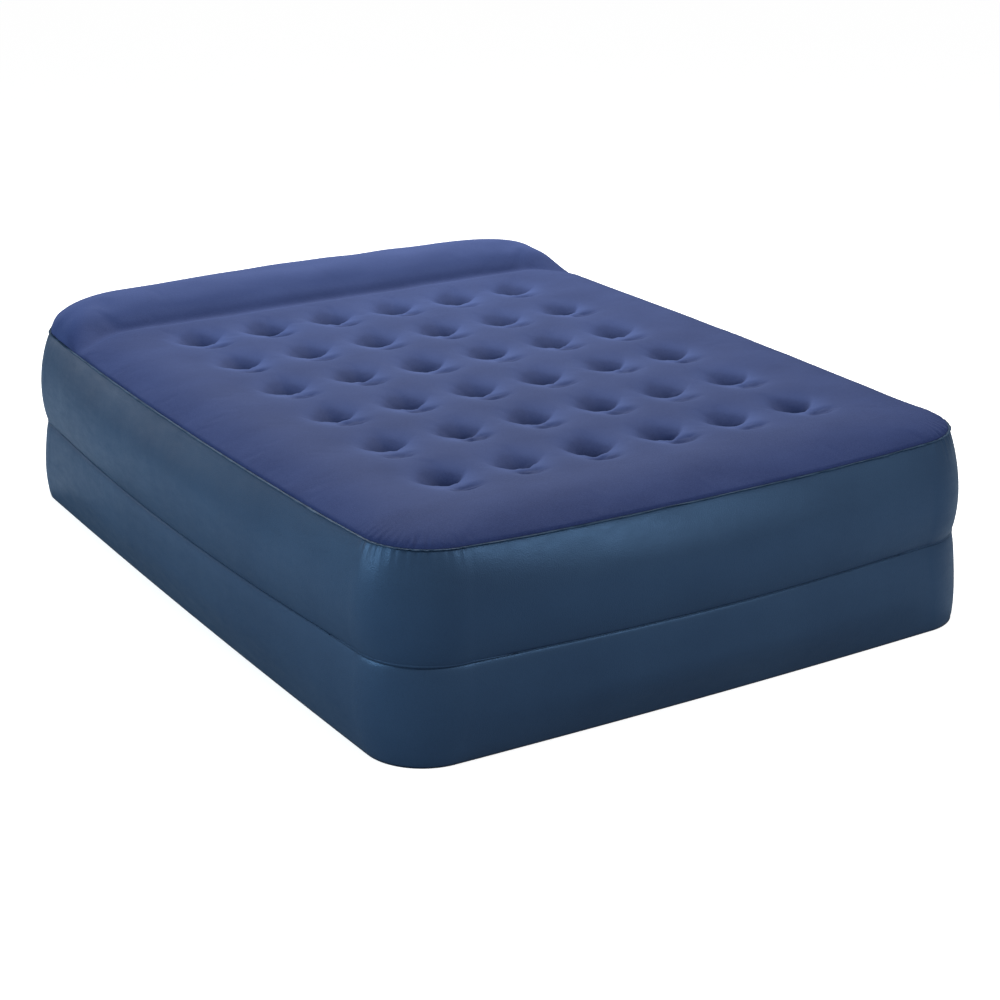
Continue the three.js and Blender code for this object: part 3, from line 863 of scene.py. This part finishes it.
FLOCK_TONES = (colour(39, 51, 92), colour(46, 59, 102))
FLOCK_FIBRE = colour(68, 83, 132)
# painted shade for the bowls
FLOCK_PAINTED_SHADE = colour(20, 29, 60)
# painted highlight for the crests and the pillow
FLOCK_PAINTED_HIGHLIGHT = colour(74, 92, 145)
FLOCK_SHINE = colour(150, 175, 235)
WALL_TONES = (colour(50, 70, 96), colour(56, 78, 105))
WALL_PEBBLE = colour(40, 57, 80)
WALL_SHINE = colour(140, 195, 255)
LIP_TONES = (colour(34, 54, 76), colour(52, 74, 98))
BASE_TONES = (colour(40, 52, 72), colour(47, 60, 82))
INNER_TONES = (colour(120, 138, 165), colour(140, 156, 182))
PLASTIC_TONES = (colour(30, 36, 46), colour(38, 44, 56))
RUBBER_TONES = (colour(16, 16, 18), colour(24, 24, 26))
SILICONE_TONES = (colour(150, 156, 164), colour(168, 174, 182))
FLOOR_TONES = ((0.90, 0.90, 0.90, 1), (0.92, 0.92, 0.92, 1))
WHITE = (1, 1, 1, 1)


def flock_material():
    """Short velvety fibres on vinyl: a soft sheen, fine grain, and brushed patches, with painted shade in
    the bowls and painted highlight on the crests and the pillow.
    """
    r = Recipe("flock_velvet")
    brushed = r.noise(scale=5.0, detail=3.0, roughness=0.55, place=r.stretched(1.0, 1.6, 1.0))
    tone = r.mottle(brushed, FLOCK_TONES)
    fibres = r.noise(scale=420.0, detail=3.0, roughness=0.7)
    tone = r.mix(r.remap(fibres, 0.35, 0.65, to_high=0.35), tone, FLOCK_FIBRE)
    painted_shading = r.node("ShaderNodeAttribute", attribute_name="painted_shading").outputs["Fac"]
    # painted shade: darker flock in the bowls
    tone = r.mix(r.remap(painted_shading, 0.5, 1.0), tone, FLOCK_PAINTED_SHADE)
    # painted highlight: lighter flock on the crests between the bowls and on the pillow
    tone = r.mix(r.remap(painted_shading, 0.5, 0.0, to_high=0.62), tone, FLOCK_PAINTED_HIGHLIGHT)
    grain = r.bump(fibres, distance=0.0012, strength=0.5)
    nap = r.bump(r.noise(scale=60.0), distance=0.0010, strength=0.25, below=grain)
    r.set(Base_Color=tone, Roughness=0.80, Normal=nap)
    r.set(Sheen_Weight=0.10, Sheen_Roughness=0.40, Sheen_Tint=FLOCK_SHINE)
    r.set(Specular_IOR_Level=0.20, Specular_Tint=FLOCK_SHINE)
    return r.material


def wall_material():
    """Satin vinyl with a fine pebbled emboss and a few scuffs."""
    r = Recipe("wall_vinyl")
    tone = r.mottle(r.noise(scale=4.0, detail=3.0), WALL_TONES, 0.3, 0.7)
    pebbles = r.cells(scale=420.0)
    tone = r.mix(r.remap(pebbles, 0.1, 0.8, to_high=0.25), tone, WALL_PEBBLE)
    scuffs = r.noise(scale=16.0, detail=6.0, roughness=0.65, place=r.stretched(1.0, 1.0, 3.0))
    gloss = r.remap(scuffs, 0.3, 0.7, 0.34, 0.46)
    emboss = r.bump(pebbles, distance=0.0006, strength=0.35)
    soft = r.bump(r.noise(scale=26.0), distance=0.0016, strength=0.30, below=emboss)
    r.set(Base_Color=tone, Roughness=gloss, Normal=soft, Specular_IOR_Level=0.6, Specular_Tint=WALL_SHINE)
    return r.material


def lip_material():
    """The cut edge of the welded flange, a darker and duller strip of the same vinyl."""
    r = Recipe("seam_edge")
    tone = r.mottle(r.noise(scale=40.0), LIP_TONES)
    r.set(Base_Color=tone, Roughness=0.62, Specular_IOR_Level=0.3, Specular_Tint=WALL_SHINE)
    r.set(Normal=r.bump(r.cells(scale=500.0), distance=0.0005, strength=0.4))
    return r.material


def base_material():
    """The thicker, duller vinyl of the underside, with a pebbled emboss."""
    r = Recipe("base_vinyl")
    tone = r.mottle(r.noise(scale=3.0), BASE_TONES)
    r.set(Base_Color=tone, Roughness=0.62)
    r.set(Normal=r.bump(r.cells(scale=300.0), distance=0.0006, strength=0.5))
    return r.material


def inner_material():
    """The pale film of the coils, webs and beams, slightly milky and creased."""
    r = Recipe("inner_vinyl")
    tone = r.mottle(r.noise(scale=8.0), INNER_TONES)
    r.set(Base_Color=tone, Roughness=r.remap(r.noise(scale=20.0), 0.3, 0.7, 0.2, 0.4))
    r.set(Normal=r.bump(r.noise(scale=40.0), distance=0.001, strength=0.4))
    return r.material


def moulded_material(name, tones, roughness, grain):
    """A moulded part: faint flow marks in its colour and a fine texture of the given depth."""
    r = Recipe(name)
    tone = r.mottle(r.noise(scale=30.0, detail=4.0), tones)
    dull = r.remap(r.noise(scale=90.0), 0.3, 0.7, roughness - 0.06, roughness + 0.06)
    r.set(Base_Color=tone, Roughness=dull)
    r.set(Normal=r.bump(r.noise(scale=1400.0), distance=grain, strength=0.4))
    return r.material


def floor_material():
    """Pale to the camera, but with a softer bounce, so that it doesn't wash out the walls."""
    r = Recipe("studio_floor")
    seen = r.node("ShaderNodeLightPath").outputs["Is Camera Ray"]
    pale = r.mix(r.noise(scale=0.4), *FLOOR_TONES)
    r.set(Base_Color=r.mix(seen, FLOOR_BOUNCE, pale), Roughness=0.8, Specular_IOR_Level=0.0)
    r.set(Emission_Color=WHITE, Emission_Strength=r.remap(seen, 0.0, 1.0, to_high=FLOOR_GLOW))
    return r.material


def finish_valve():
    """Materials for the valve's parts, which are the frame's own."""
    plastic = moulded_material("valve_plastic", PLASTIC_TONES, roughness=0.38, grain=0.0003)
    rubber = moulded_material("seal_rubber", RUBBER_TONES, roughness=0.70, grain=0.0004)
    silicone = moulded_material("flap_silicone", SILICONE_TONES, roughness=0.45, grain=0.0002)
    soft = {"collar_gasket": rubber, "check_flap": silicone}
    names = ("valve_base", "dump_collar", "collar_gasket", "strap_ring", "inflation_plug", "plug_strap",
             "check_flap", "flap_clip")
    for name in names:
        node = frame["nodes"][name]
        node.data.materials.clear()
        node.data.materials.append(soft.get(name, plastic))


# --- the studio ---

def area_light(name, location, target, size, watts, tint=(1, 1, 1)):
    data = bpy.data.lights.new(name, "AREA")
    data.shape = "RECTANGLE"
    data.size, data.size_y = size
    data.energy = watts
    data.color = tint
    light = bpy.data.objects.new(name, data)
    light.location = location
    light.rotation_euler = (Vector(target) - Vector(location)).to_track_quat("-Z", "Y").to_euler()
    bpy.context.scene.collection.objects.link(light)


def make_lights():
    area_light("overhead", (1.2, 2.2, 3.0), target=(0, 0, 0.3), size=(1.8, 1.2), watts=140)
    area_light("back_left", (-2.2, 3.9, 1.2), target=(-0.7, 0.2, 0.3), size=(1.3, 1.2), watts=6)
    area_light("left", (-3.8, 0.3, 1.6), target=(-0.75, 0.1, 0.3), size=(1.8, 1.4), watts=60,
               tint=(0.76, 0.92, 1.0))
    area_light("front_right", (1.0, -3.4, 2.3), target=(-0.28, -0.95, 0.4), size=(0.9, 1.1), watts=37)
    area_light("front", (-1.3, -4.2, 3.0), target=(-0.3, -0.8, 0.4), size=(0.5, 0.5), watts=8)


def make_world():
    """White to the camera, and a dimmer grey as a light and in reflections."""
    world = bpy.data.worlds.new("studio")
    world.use_nodes = True
    tree = world.node_tree
    background = tree.nodes["Background"]
    path = tree.nodes.new("ShaderNodeLightPath")
    lit = tree.nodes.new("ShaderNodeMapRange")
    lit.inputs["To Min"].default_value = WORLD_DIFFUSE
    lit.inputs["To Max"].default_value = WORLD_GLOSSY
    strength = tree.nodes.new("ShaderNodeMath")
    strength.operation = "MAXIMUM"
    tree.links.new(path.outputs["Is Glossy Ray"], lit.inputs["Value"])
    tree.links.new(lit.outputs["Result"], strength.inputs[0])
    tree.links.new(path.outputs["Is Camera Ray"], strength.inputs[1])
    tree.links.new(strength.outputs[0], background.inputs["Strength"])
    background.inputs["Color"].default_value = WHITE
    bpy.context.scene.world = world


def make_floor():
    square = [(-1, -1, 0), (1, -1, 0), (1, 1, 0), (-1, 1, 0)]
    floor = new_mesh_object("floor", np.array(square) * FLOOR_HALF, [(0, 1, 2, 3)])
    floor.data.materials.append(floor_material())
    floor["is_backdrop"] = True


def make_camera():
    azimuth, elevation = math.radians(CAMERA_AZIMUTH), math.radians(CAMERA_ELEVATION)
    back = Vector((
        math.sin(azimuth) * math.cos(elevation),
        -math.cos(azimuth) * math.cos(elevation),
        math.sin(elevation),
    ))
    data = bpy.data.cameras.new("camera")
    data.lens = CAMERA_LENS
    camera = bpy.data.objects.new("camera", data)
    camera.location = Vector(CAMERA_TARGET) + back * CAMERA_DISTANCE
    camera.rotation_euler = (-back).to_track_quat("-Z", "Y").to_euler()
    bpy.context.scene.collection.objects.link(camera)
    bpy.context.scene.camera = camera


# --- everything together ---

def main():
    vinyl = wall_material()
    inner = inner_material()
    make_top_sheet(flock_material())
    make_seam_lip(lip_material())
    make_upper_wall(vinyl)
    make_lower_wall(vinyl)
    make_partition(vinyl)
    make_underside(base_material())
    make_coils(inner)
    make_webs(inner)
    finish_valve()
    make_world()
    make_lights()
    bpy.context.scene.view_settings.view_transform = "Standard"
    make_floor()
    make_camera()


def corners(box):
    return [[float(value) for value in corner] for corner in box]


main()
{"cad": corners(cad_box), "visual": corners(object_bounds())}
